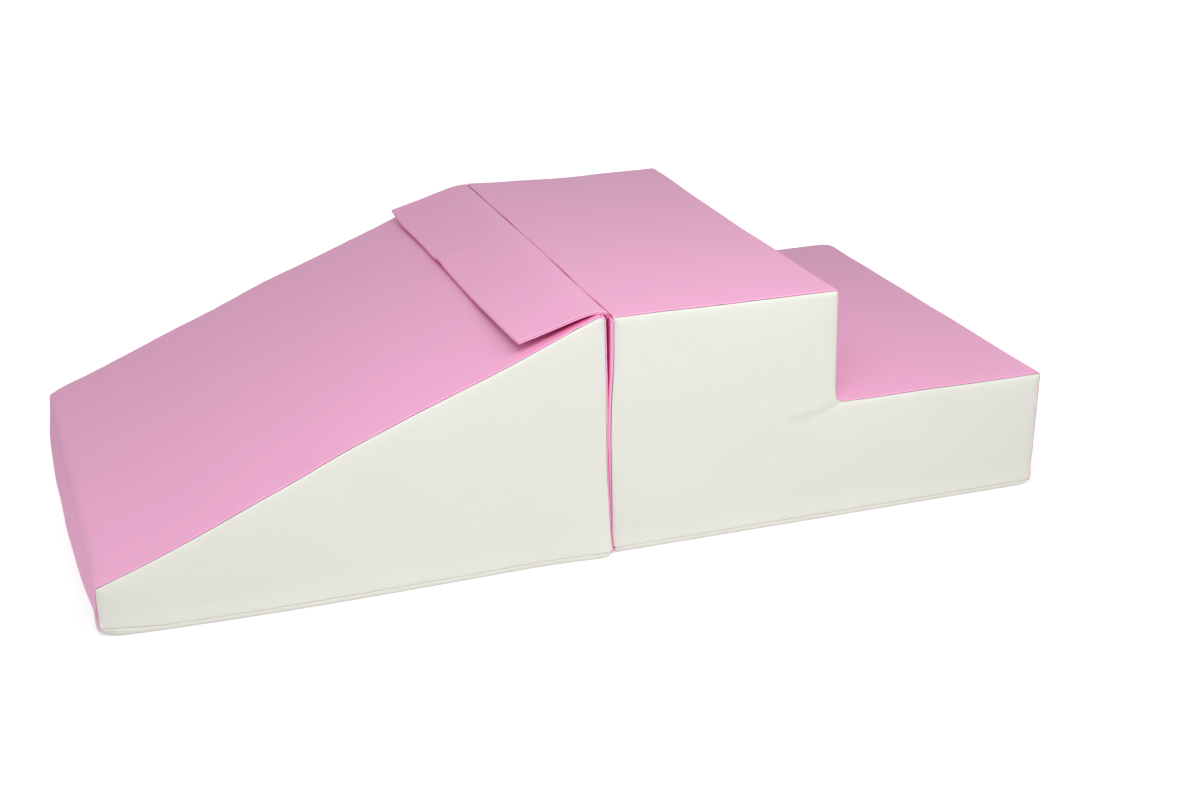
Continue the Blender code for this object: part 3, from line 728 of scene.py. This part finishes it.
def cast_zinc():
    """Zinc, die-cast, tumbled and nickel-plated: bright grey metal with soft tumbling marks."""
    material, tree, shader, place = material_of("zinc, die-cast and plated", 0.32, metallic=1.0)
    marks = add(tree, "ShaderNodeTexNoise", place, Scale=1 / 0.0009, Detail=4.0).outputs["Fac"]
    tint = add(tree, "ShaderNodeMix", marks, data_type="RGBA", A=srgb("#A9ABAF"), B=srgb("#D3D5D8"))
    polish = add(tree, "ShaderNodeMapRange", marks, To_Min=0.22, To_Max=0.42)
    relief = add(tree, "ShaderNodeBump", Height=marks, Strength=0.15, Distance=0.00008)
    feed(tree, shader, Base_Color=tint.outputs["Result"], Normal=relief.outputs["Normal"],
         Roughness=polish.outputs["Result"])
    return material


# The third colour of each is painted shade for creases and seams: deep crimson on the pink, pinkish grey on
# the white
pink = leatherette("pink leatherette, embossed PVC", "#F0A9D0", "#ECA4CB", "#E6308F", 0.46)
white = leatherette("white leatherette, embossed PVC", "#DDDDD5", "#D8D8CF", "#DBCFCC", 0.44)
foam = cellular_foam()
zip_tape_look = woven_tape()
loop_tape = pile_tape("nylon loop tape, knitted", "#E7A5CB", "#B5688F", 0.0005, 0.0006)
hook_tape = pile_tape("nylon hook tape, moulded", "#E09BC3", "#A85C84", 0.0011, 0.0009)
coil_look = nylon_coil()
metal = cast_zinc()


def placed(name, data):
    """A new object in the scene."""
    obj = bpy.data.objects.new(name, data)
    bpy.context.scene.collection.objects.link(obj)
    return obj


def mesh_of(name, points, faces, look):
    """A new mesh of one material."""
    mesh = bpy.data.meshes.new(name)
    mesh.from_pydata([tuple(p) for p in points], [], [tuple(int(i) for i in f) for f in faces])
    mesh.materials.append(look)
    return mesh


def piece(name, points, faces, look, body, thickness, replaced):
    """An object that rides on a body and replaces frame nodes; a thickness gives a sheet its inner side."""
    mesh = mesh_of(name, points, faces, look)
    mesh.validate()
    mesh.shade_smooth()
    obj = placed(f"{name}_sewn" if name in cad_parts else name, mesh)
    if thickness:
        solid = obj.modifiers.new("thickness", "SOLIDIFY")
        solid.thickness = thickness
        solid.offset = -1
    if body:
        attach(obj, body)
    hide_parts(*replaced)
    return obj


# What the pieces of a block share: its crowns, its joint face, how it settles, and where it starts and ends
Block = namedtuple("Block", "name crowns joint settle low_x high_x")


def sewn_piece(block, part, points, faces, look, slot, **sheet):
    """A cover, side or base half: it settles with its block and has the cover's thickness."""
    node = f"{block.name}_{part}"
    obj = piece(node, block.settle(points), faces, look, f"{block.name}_block", cover_thickness, [node])


def part_row(row, first, last):
    """Some of the places of a row."""
    return Row(*(column[first:last] for column in row))


def cover(block, face, row, base_end, seed, crown_power=face_power, tight=None):
    """A pink cover over one or more faces of a block; its base end is its row's first place or its last."""
    rolled, depth = with_rolled_ends(row, base_end)
    if tight:
        tight = with_rolled_ends(tight, base_end)[0]
    grid = gathered(cover_grid(rolled, depth, block, crown_power, tight), seed)
    length = np.linalg.norm(np.diff(row.place, axis=0), axis=1).sum()
    sewn_piece(block, f"{face}_cover", grid.reshape(-1, 3), grid_faces(*grid.shape[:2]), pink,
               "pink_leatherette", flat=(2 * half_width, float(length)))


def distance_to(points, loop):
    """The shortest distance from each point to a closed loop."""
    nearest = np.full(len(points), np.inf)
    for a, b in zip(loop, np.roll(loop, -1, axis=0)):
        along = b - a
        share = np.clip((points - a) @ along / (along @ along), 0, 1)
        nearest = np.minimum(nearest, np.linalg.norm(points - a - share[:, None] * along, axis=1))
    return nearest


def inward_ways(loop):
    """The inward direction at each corner of a clockwise loop, long enough to keep a parallel offset."""
    edge = unit(np.roll(loop, -1, axis=0) - loop)
    after = np.stack([edge[:, 1], -edge[:, 0]], 1)
    before = np.roll(after, 1, axis=0)
    return (before + after) / (1 + (before * after).sum(1, keepdims=True))


def filled(loop, wanted, spacing, clear=0):
    """Points and triangles inside a closed loop, with the loop's own points first."""
    low, high = loop.min(0), loop.max(0)
    counts = np.ceil((high - low) / spacing).astype(int)
    xs, zs = (np.linspace(low[k], high[k], counts[k] + 1)[1:-1] for k in (0, 1))
    inner = np.array([(x + (spacing / 2 if j % 2 else 0), z) for j, z in enumerate(zs) for x in xs])
    inner = inner[distance_to(inner, loop) > clear + spacing * loop_clear]
    edges = [(i, (i + 1) % len(loop)) for i in range(len(loop))]
    points = [Vector(p) for p in (*loop, *inner, *wanted)]
    found, _, faces, origins, *_ = delaunay_2d_cdt(points, edges, [], 1, merge_distance)
    return np.array([tuple(p) for p in found]), faces, origins


def side_panel(block, name, row, side, seed, features=None):
    """A white side: it rolls into its seam all round, and swells away from the seam."""
    seam = row.place - row.normal * (seam_of(row, *block.joint)[0] + side_slit)[:, None]
    bottom = graded(seam[-1, 0] - seam[0, 0])[1:-1]
    bottom = bottom[(bottom > fine_step * 2) & (bottom < bottom[-1] - fine_step)]
    level = seam_height + base_slit / 2
    seam[[0, -1], 1] = level
    loop = np.vstack([seam, np.column_stack([seam[-1, 0] - bottom, np.full(len(bottom), level)])])
    ways = inward_ways(loop)
    pairs = rolled_edge(white_roll_width, seam_inset, BROAD_TURNS)
    rings = np.vstack([loop + ways * inset for inset, _ in pairs[2:]])
    wanted = np.repeat([inset for inset, _ in pairs[2:]], len(loop))
    rings = rings[distance_to(rings, loop) > wanted * ring_clear]
    inner, faces, origins = filled(loop, rings, coarse_step, white_roll_width)
    count = len(loop)
    points = np.vstack([loop + ways * dive / 2, inner])
    to_inner = {i: count + new for new, old in enumerate(origins) for i in old}
    quads = [(i, (i + 1) % count, to_inner[(i + 1) % count], to_inner[i]) for i in range(count)]
    triangles = [tuple(count + i for i in face) for face in faces]
    depth = distance_to(points, loop)
    depth[:count] = 0
    turned = np.sqrt(1 - np.clip(1 - depth / white_roll_width, 0, 1) ** 2)
    lift = side_crown * np.sin(np.clip(depth / side_crown_reach, 0, 1) * math.pi / 2)
    lift -= inset_at(points[:, 1]) * (1 - turned)
    lift[:count] -= dive
    spots = np.column_stack([points[:, 0], np.zeros(len(points)), points[:, 1]])
    lift += gathers(spots, depth, seed, side_gather, side_gather_length)
    lift += side_wave * ease(depth / side_wave_reach) * waves(spots, side_wave_length, seed + 1)
    behind = ease((allowance_width - depth) / allowance_fade) * ease(depth / allowance_start)
    lift += allowance_rise * (np.exp(-((depth - allowance_width) / allowance_line) ** 2) + behind)
    if features:
        lift += features(points)
    spots[:, 1] = side * (half_width + lift)
    faces = [face[::side] for face in quads] + [face[::-side] for face in triangles]
    size = loop.max(0) - loop.min(0)
    x, z = loop.T
    area = abs(x @ np.roll(z, 1) - z @ np.roll(x, 1)) / 2
    sewn_piece(block, f"{name}_panel", spots, faces, white, "white_leatherette",
               flat=(float(size[0]), float(size[1])), area=float(area))


def notch_wrinkle(points):
    """The soft wrinkle that runs down from the notch across the white side."""
    lift = np.zeros(len(points))
    for (x0, z0), (x1, z1), strength in WRINKLE:
        way = unit(np.array((x1 - x0, z1 - z0)))
        from_start = points - np.array((x0, z0))
        along = from_start @ way / math.hypot(x1 - x0, z1 - z0)
        off = from_start @ outward(-way)
        fade = ease(along / wrinkle_start + 0.5) * ease((1 - along) / wrinkle_end)
        ridge = ridge_share * np.exp(-((off - ridge_place) / ridge_width) ** 2)
        lift += strength * fade * (ridge - np.exp(-(off / furrow_width) ** 2))
    return lift


# The wedge from the left base seam over the slope to the right base seam
slide_row = outline([(slide_low_x, seam_height, 0), (slide_low_x, slide_low_height, fold_soft_radius),
                     (slide_high_x, slide_height, apex_radius), (slide_high_x + joint_flare, seam_height, 0)])
slide_seam_row = drawn_tight(slide_row)
slide_apex = int(np.flatnonzero(slide_row.run == 2)[0]) + apex_places
# The L from the left base seam over top, riser and tread to the right base seam
step_row = outline([(step_left_x, seam_height, 0), (step_left_x, step_height, edge_radius),
                    (riser_x, step_height, edge_radius), (riser_x + riser_lean, tread_height, notch_radius),
                    (step_end_x, tread_height, edge_radius), (step_end_x, seam_height, 0)])
step_apex = int(np.flatnonzero(step_row.run == 1)[0]) + apex_places
step_top_row = part_row(step_row, step_apex, None)

# A joint face: which way it looks, and how far its cover rolls over to the side seam at foot and top
slide = Block("slide", (low_end_crown, slope_crown, joint_crown), (1, 0.0010, 0.0024), settle_slide,
              slide_low_x, slide_high_x + joint_flare)
step = Block("step", (joint_crown, top_crown, riser_crown, tread_crown, end_crown), (-1, 0.0014, 0.0042),
             settle_step, step_left_x, step_end_x)

cover(slide, "slope", part_row(slide_row, 0, slide_apex + 1), 0, seed=31,
      tight=part_row(slide_seam_row, 0, slide_apex + 1))
cover(slide, "joint", part_row(slide_row, slide_apex, None), -1, seed=32, crown_power=joint_power)
cover(step, "top", step_top_row, -1, seed=33)
cover(step, "joint", part_row(step_row, 0, step_apex + 1), 0, seed=34, crown_power=joint_power)
SIDES = ((-1, "front"), (1, "rear"))
for side, name in SIDES:
    side_panel(slide, name, slide_seam_row, side, seed=41 + side)
    side_panel(step, name, step_row, side, seed=51 + side, features=notch_wrinkle)


def rim_rings():
    """The base's rim from its seam down: height, and depth behind the block's faces."""
    top = seam_height - base_slit / 2
    rings = [(top - along, depth) for along, depth in rolled_edge(base_inset, base_inset)]
    return rings + [(height, 0) for height, _ in rolled_edge(seam_height, 0, RIM_TURNS)[1:]]


def base_half(block, name, side):
    """Half of a block's white base: its rim wraps up round the bottom edge, and its slot holds the zip."""
    low_x, high_x, near = block.low_x, block.high_x, fit_gap / 2
    wall = outline([(low_x, near, 0), (low_x, half_width, plan_corner_radius),
                    (high_x, half_width, plan_corner_radius), (high_x, near, 0)]).place
    middle, reach = (low_x + high_x) / 2, (high_x - low_x) / 2
    rings = []
    for height, depth in rim_rings():
        tuck = 1 - math.sqrt(max(0, 1 - (1 - height / seam_height) ** 2))
        ring = wall.copy()
        ring[:, 0] = middle + (ring[:, 0] - middle) * (1 - (foot_radius * tuck + depth) / reach)
        ring[:, 1] *= 1 - (foot_edge_radius * tuck + depth) / half_width
        rings.append(np.column_stack([ring, np.full(len(ring), height)]))
    slot_low, slot_high = low_x + slot_margin, high_x - slot_margin
    run = np.linspace(slot_high, slot_low, slot_places)
    notch = [(slot_high, near), *((x, slot_half) for x in run), (slot_low, near)]
    loop = np.vstack([rings[-1][:, :2], notch])
    beside = np.array([(x, slot_half + away) for away in SLOT_RINGS for x in run[::2]])
    inner, faces, origins = filled(loop, beside, base_spacing)
    count = len(wall)
    away = np.maximum(np.abs(inner[:, 0] - (slot_low + slot_high) / 2) - (slot_high - slot_low) / 2,
                      inner[:, 1] - slot_half)
    curl = slot_curl * np.clip(1 - np.maximum(away, 0) / slot_curl, 0, 1) ** 2
    points = np.vstack(rings[:-1] + [np.column_stack([inner, curl])])
    base = (len(rings) - 1) * count
    to_inner = {i: base + new for new, old in enumerate(origins) for i in old}
    levels = [range(first, first + count) for first in range(0, base, count)] + [to_inner]
    quads = [(above[i], above[i + 1], below[i + 1], below[i])
             for above, below in zip(levels, levels[1:]) for i in range(count - 1)]
    triangles = [tuple(base + i for i in reversed(face)) for face in faces]
    points[:, 1] *= side
    faces = [face[::side] for face in quads + triangles]
    sewn_piece(block, f"base_{name}_panel", points, faces, white, "white_leatherette",
               flat=(high_x - low_x + 2 * seam_height, half_width + seam_height))


def foam_piece(name, corners, body, replaced, grooved):
    """A sawn foam block with softened edges, and a channel under it that leaves room for the zip."""
    row = outline(corners)
    low = row.place[:, 1].min()
    reach = half_width - foam_inset
    inner = np.linspace(-reach + foam_edge, reach - foam_edge, round(2 * reach / foam_spacing))
    inner = inner[np.abs(np.abs(inner) - groove_half_width) > fit_gap]
    channel = [s * (groove_half_width + d) for s in (-1, 1) for d in (0, fit_gap)]
    ends = [(reach - foam_edge * (1 - math.cos(a)), foam_edge * (1 - math.sin(a))) for a in FOAM_TURNS]
    stations = [(-y, inset) for y, inset in ends]
    stations += [(y, 0) for y in sorted([*inner, *channel])[1:-1]]
    stations += [(y, inset) for y, inset in reversed(ends)]
    rings = []
    for y, inset in stations:
        flat = row.place - row.normal * inset
        if grooved and abs(y) <= groove_half_width + fit_gap / 2:
            flat[:, 1] += (groove_top - low) * np.clip(1 - (flat[:, 1] - low) / groove_fade, 0, 1) ** 2
        rings.append(np.column_stack([flat[:, 0], np.full(len(flat), y), flat[:, 1]]))
    index = np.arange(len(rings) * len(row.place)).reshape(len(rings), -1)
    after = np.roll(index, -1, axis=1)
    walls = np.stack([index[:-1], after[:-1], after[1:], index[1:]], -1).reshape(-1, 4)
    faces = [*walls, index[0, ::-1], index[-1]]
    piece(name, np.vstack(rings), faces, foam, body, 0, replaced)


def foam_blocks():
    """The foam of both blocks: one wedge, and two slabs glued on top of each other."""
    low_z = cover_thickness * 2 + foam_inset / 4
    inset = foam_inset
    foam_piece("slide_block_foam", [
        (slide_low_x + inset, low_z, 0), (slide_low_x + inset, slide_low_height - inset, fold_radius),
        (slide_high_x - inset, slide_height - inset * (1 + slope) - apex_radius / 4, apex_radius),
        (slide_high_x - inset, low_z, 0)], "slide_block", ["slide_foam_core"], True)
    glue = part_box("step_foam_upper")[0].z
    left, right = step_left_x + inset, step_end_x - inset
    riser = riser_x - inset
    foam_piece("step_block_foam", [
        (left, low_z, 0), (left, glue - inset, edge_radius), (right, glue - inset, edge_radius),
        (right, low_z, 0)], "step_block", ["step_foam_lower"], True)
    foam_piece("step_upper_foam", [
        (left, glue - inset + fit_gap, 0), (left, step_height - inset, edge_radius),
        (riser, step_height - inset, edge_radius), (riser + riser_lean, glue - inset + fit_gap, 0)],
        "step_block", ["step_foam_upper"], False)


# Where the flap's seam lies along the step block
seam_place = step_top_row.place[0][0] - hinge_slit / 2


def slope_top(x, y):
    """The height of the slope's surface."""
    share, line = slope_line(x)
    return line + slope_wave(share, y) + between(REAR_RISE, share) * towards_rear(y) + slope_swell(share, y)


def flap_top(run, y):
    """Points of the flap's upper surface, by distance from its seam and place across."""
    root = seam_place + between(ROOT_WAVE, y)
    x = root - run
    free_x = root - flap_reach
    free_z = slope_top(free_x, y) + between(FLAP_LIFT, y) * math.hypot(1, slope)
    turn = between(TURN_PLACE, y)
    fall = (hump_height - free_z) / (-free_x - turn)
    z = hump_height - fall * turn_softness * np.logaddexp(0, (-x - turn) / turn_softness)
    z -= (root_dip - top_rise(seam_place, y)) * np.exp(-run / root_dip_run)
    z -= root_tuck * np.exp(-(run / root_tuck_run) ** 2)
    middle = ease(run / flap_wave_root) * ease((flap_reach - run) / flap_wave_free)
    plan = np.column_stack([x.ravel(), y.ravel(), np.zeros(x.size)])
    z += flap_wave * middle * waves(plan, flap_wave_length, seed=61).reshape(x.shape)
    return np.stack([x, y, z], -1)


def flap_grid():
    """The flap's upper surface: points, normals, edge roll, thickness, runs, and the lining's lip."""
    edge = [(flap_dive, 1)] + rolled_edge(flap_roll_width, 1)[1:]
    inner = graded(2 * (flap_half_width - flap_roll_width))[1:-1] - flap_half_width + flap_roll_width
    columns = [(-flap_half_width + along, turned) for along, turned in edge] + [(y, 0) for y in inner]
    columns += [(flap_half_width - along, turned) for along, turned in reversed(edge)]
    far = ROOT_RUNS[-1] + graded(flap_reach - flap_roll_width - ROOT_RUNS[-1], flap_step)[1:-1]
    rows = [(run, 0) for run in (*ROOT_RUNS, *far)]
    rows += [(flap_reach - along, turned) for along, turned in reversed(edge)]
    run, row_roll = np.array(rows).T
    y, column_roll = np.array(columns).T
    runs, ys = np.meshgrid(run, y, indexing="ij")
    near = fine_step / 8
    along = flap_top(runs + near, ys) - flap_top(runs - near, ys)
    side = flap_top(runs, ys + near) - flap_top(runs, ys - near)
    normal = unit(np.cross(side, along))
    rolled = np.maximum(row_roll[:, None], column_roll[None, :])
    inside = np.minimum(flap_reach - runs, flap_half_width - np.abs(ys))
    thick = flap_thickness + flap_edge_swell * (1 - ease(inside / flap_swell_reach))
    lip = np.zeros((*rolled.shape, 3))
    lip[:, :, 0] = -flap_lip * np.sin(math.pi * row_roll)[:, None]
    lip[:, :, 1] = flap_lip * (np.sin(math.pi * column_roll) * np.sign(y))[None, :]
    return flap_top(runs, ys), normal, rolled, thick, run, lip


def flap_pieces():
    """The doubled flap: two layers sewn together round their edge, and the hook tape under them."""
    grid, normal, rolled, thick, run, lip = flap_grid()
    seam_depth = thick * flap_seam_share
    upper = grid - normal * (rolled * seam_depth)[:, :, None]
    lower = grid + lip - normal * (thick - rolled * (thick - seam_depth - flap_slit))[:, :, None]
    faces = grid_faces(*rolled.shape)
    layers = (("flap_outer", upper, faces[:, ::-1], ["flap_outer", "flap_root_strip"]),
              ("flap_lining", lower, faces, ["flap_lining"]))
    for name, points, turned, nodes in layers:
        obj = piece(name, points.reshape(-1, 3), turned, pink, None, flap_layer, nodes)
        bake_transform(obj)
    first, last = (int(np.searchsorted(run, s)) for s in (tape_start, tape_start + tape_width))
    columns = np.abs(grid[0, :, 1]) <= tape_half_length
    under = (lower - normal * hook_depth)[first:last + 1][:, columns]
    obj = piece("flap_hook_strip", under.reshape(-1, 3), grid_faces(*under.shape[:2]), hook_tape, "flap",
                tape_thickness, ["flap_hook_strip"])


def loop_strip():
    """The strip of loop tape sewn across the slope where the flap's hook tape lands."""
    runs = np.linspace(tape_start + tape_width, tape_start, tape_rows)
    y = np.linspace(-tape_half_length, tape_half_length, tape_columns)
    direction = unit(np.array([1, slope]))
    normal = outward(direction)
    xs, ys = np.meshgrid(slide_high_x - runs * direction[0], y, indexing="ij")
    from_end = np.minimum(np.abs(runs - runs[0]), np.abs(runs - runs[-1]))
    edge = np.minimum(tape_half_length - np.abs(ys), from_end[:, None])
    thick = tape_thickness * (tape_edge_share + (1 - tape_edge_share) * ease(edge / tape_edge_width))
    share, line = slope_line(xs)
    rise = slope_swell(share, ys) + fit_gap / 2 + thick
    points = np.stack([xs + normal[0] * rise, ys, line + normal[1] * rise], -1).reshape(-1, 3)
    obj = piece("slide_loop_strip", settle_slide(points), grid_faces(*xs.shape), loop_tape, "slide_block",
                tape_thickness, ["slide_loop_strip"])


foam_blocks()
for side, name in SIDES:
    base_half(slide, name, side)
    base_half(step, name, side)
flap_pieces()
loop_strip()

# The zips keep the frame's own pieces, with their real finishes
ZIP_LOOKS = (("tape", zip_tape_look, "zip_tape"), ("coil", coil_look, "zip_coil"),
             ("stop", metal, "zip_metal"), ("slider", metal, "zip_metal"), ("pull", metal, "zip_metal"))
for node_name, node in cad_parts.items():
    for ending, look, slot_name in ZIP_LOOKS:
        if "zip" in node_name and node_name.endswith(ending):
            node.data.materials.clear()
            node.data.materials.append(look)


# Floor: half its side, its depth under the feet, and the light of its own from near the blocks to far away
floor_size = 6.0
floor_drop = 0.0002
glow_centre = (0, -1.1, 0)
glow_start, glow_end = 0.9, 2.0
near_glow, far_glow = 0.60, 1.0
# How brightly the room lights things; the camera and reflections see it white
room_light = 0.21


def floor():
    """A white studio floor. For the camera half of its light is its own, so shadows on it stay faint."""
    material, tree, shader, place = material_of("studio floor, painted", 0.9)
    seen = add(tree, "ShaderNodeLightPath").outputs["Is Camera Ray"]
    paint = add(tree, "ShaderNodeMix", seen, data_type="RGBA", A=srgb("#F4F4F4"), B=srgb("#B4B4B4"))
    distance = add(tree, "ShaderNodeVectorMath", place, operation="DISTANCE")
    distance.inputs[1].default_value = glow_centre
    glow = add(tree, "ShaderNodeMapRange", distance.outputs["Value"], From_Min=glow_start, From_Max=glow_end,
               To_Min=near_glow, To_Max=far_glow)
    strength = add(tree, "ShaderNodeMath", seen, glow.outputs["Result"], operation="MULTIPLY")
    feed(tree, shader, Base_Color=paint.outputs["Result"], Emission_Color=(1, 1, 1, 1),
         Emission_Strength=strength.outputs["Value"])
    size = floor_size
    corners = [(-size, -size, 0), (size, -size, 0), (size, size, 0), (-size, size, 0)]
    obj = placed("floor", mesh_of("floor", corners, [(0, 1, 2, 3)], material))
    obj.location.z = -floor_drop


def lamp(name, place, target, size, power):
    """A rectangular soft lamp aimed at a point."""
    light = bpy.data.lights.new(name, "AREA")
    light.shape = "RECTANGLE"
    light.size, light.size_y = size
    light.energy = power
    obj = placed(name, light)
    obj.location = place
    obj.rotation_euler = (Vector(target) - Vector(place)).to_track_quat("-Z", "Y").to_euler()
    return obj


def studio():
    """A white room with soft lamps overhead, at the left, at the right, and low down behind."""
    world = bpy.data.worlds.new("white room")
    bpy.context.scene.world = world
    world.use_nodes = True
    tree = world.node_tree
    path = add(tree, "ShaderNodeLightPath").outputs
    shown = add(tree, "ShaderNodeMath", path["Is Camera Ray"], path["Is Glossy Ray"], operation="MAXIMUM")
    clear = add(tree, "ShaderNodeMath", shown.outputs["Value"], path["Is Transmission Ray"],
                operation="MAXIMUM")
    level = add(tree, "ShaderNodeMapRange", clear.outputs["Value"], To_Min=room_light, To_Max=1.0)
    feed(tree, tree.nodes["Background"], Color=(1, 1, 1, 1), Strength=level.outputs["Result"])
    middle = (0, 0, 0.15)
    lamp("overhead lamp", (0, -1.3, 1.6), (0, -1.1, 0), (2.4, 0.9), 36.0)
    lamp("left lamp", (-1.9, -0.3, 1.0), middle, (1.2, 0.9), 6.3)
    lamp("right lamp", (1.3, -1.7, 1.0), middle, (1.2, 0.9), 4.0)
    rear = lamp("rear lamp", (0, 2.4, 0.05), (0, 0, 0.12), (2.4, 0.08), 27.0)
    rear.visible_glossy = False


def camera():
    """The camera at the photograph's angle."""
    azimuth, elevation = math.radians(camera_azimuth), math.radians(camera_elevation)
    back = Vector((math.sin(azimuth) * math.cos(elevation), -math.cos(azimuth) * math.cos(elevation),
                   math.sin(elevation)))
    data = bpy.data.cameras.new("camera")
    data.lens = camera_lens
    obj = placed("camera", data)
    obj.location = Vector(camera_target) + back * camera_distance
    turn = (-back).to_track_quat("-Z", "Y").to_matrix() @ Matrix.Rotation(math.radians(camera_roll), 3, "Z")
    obj.rotation_euler = turn.to_euler()
    bpy.context.scene.camera = obj


floor()
studio()
camera()
bpy.context.scene.view_settings.view_transform = "Standard"
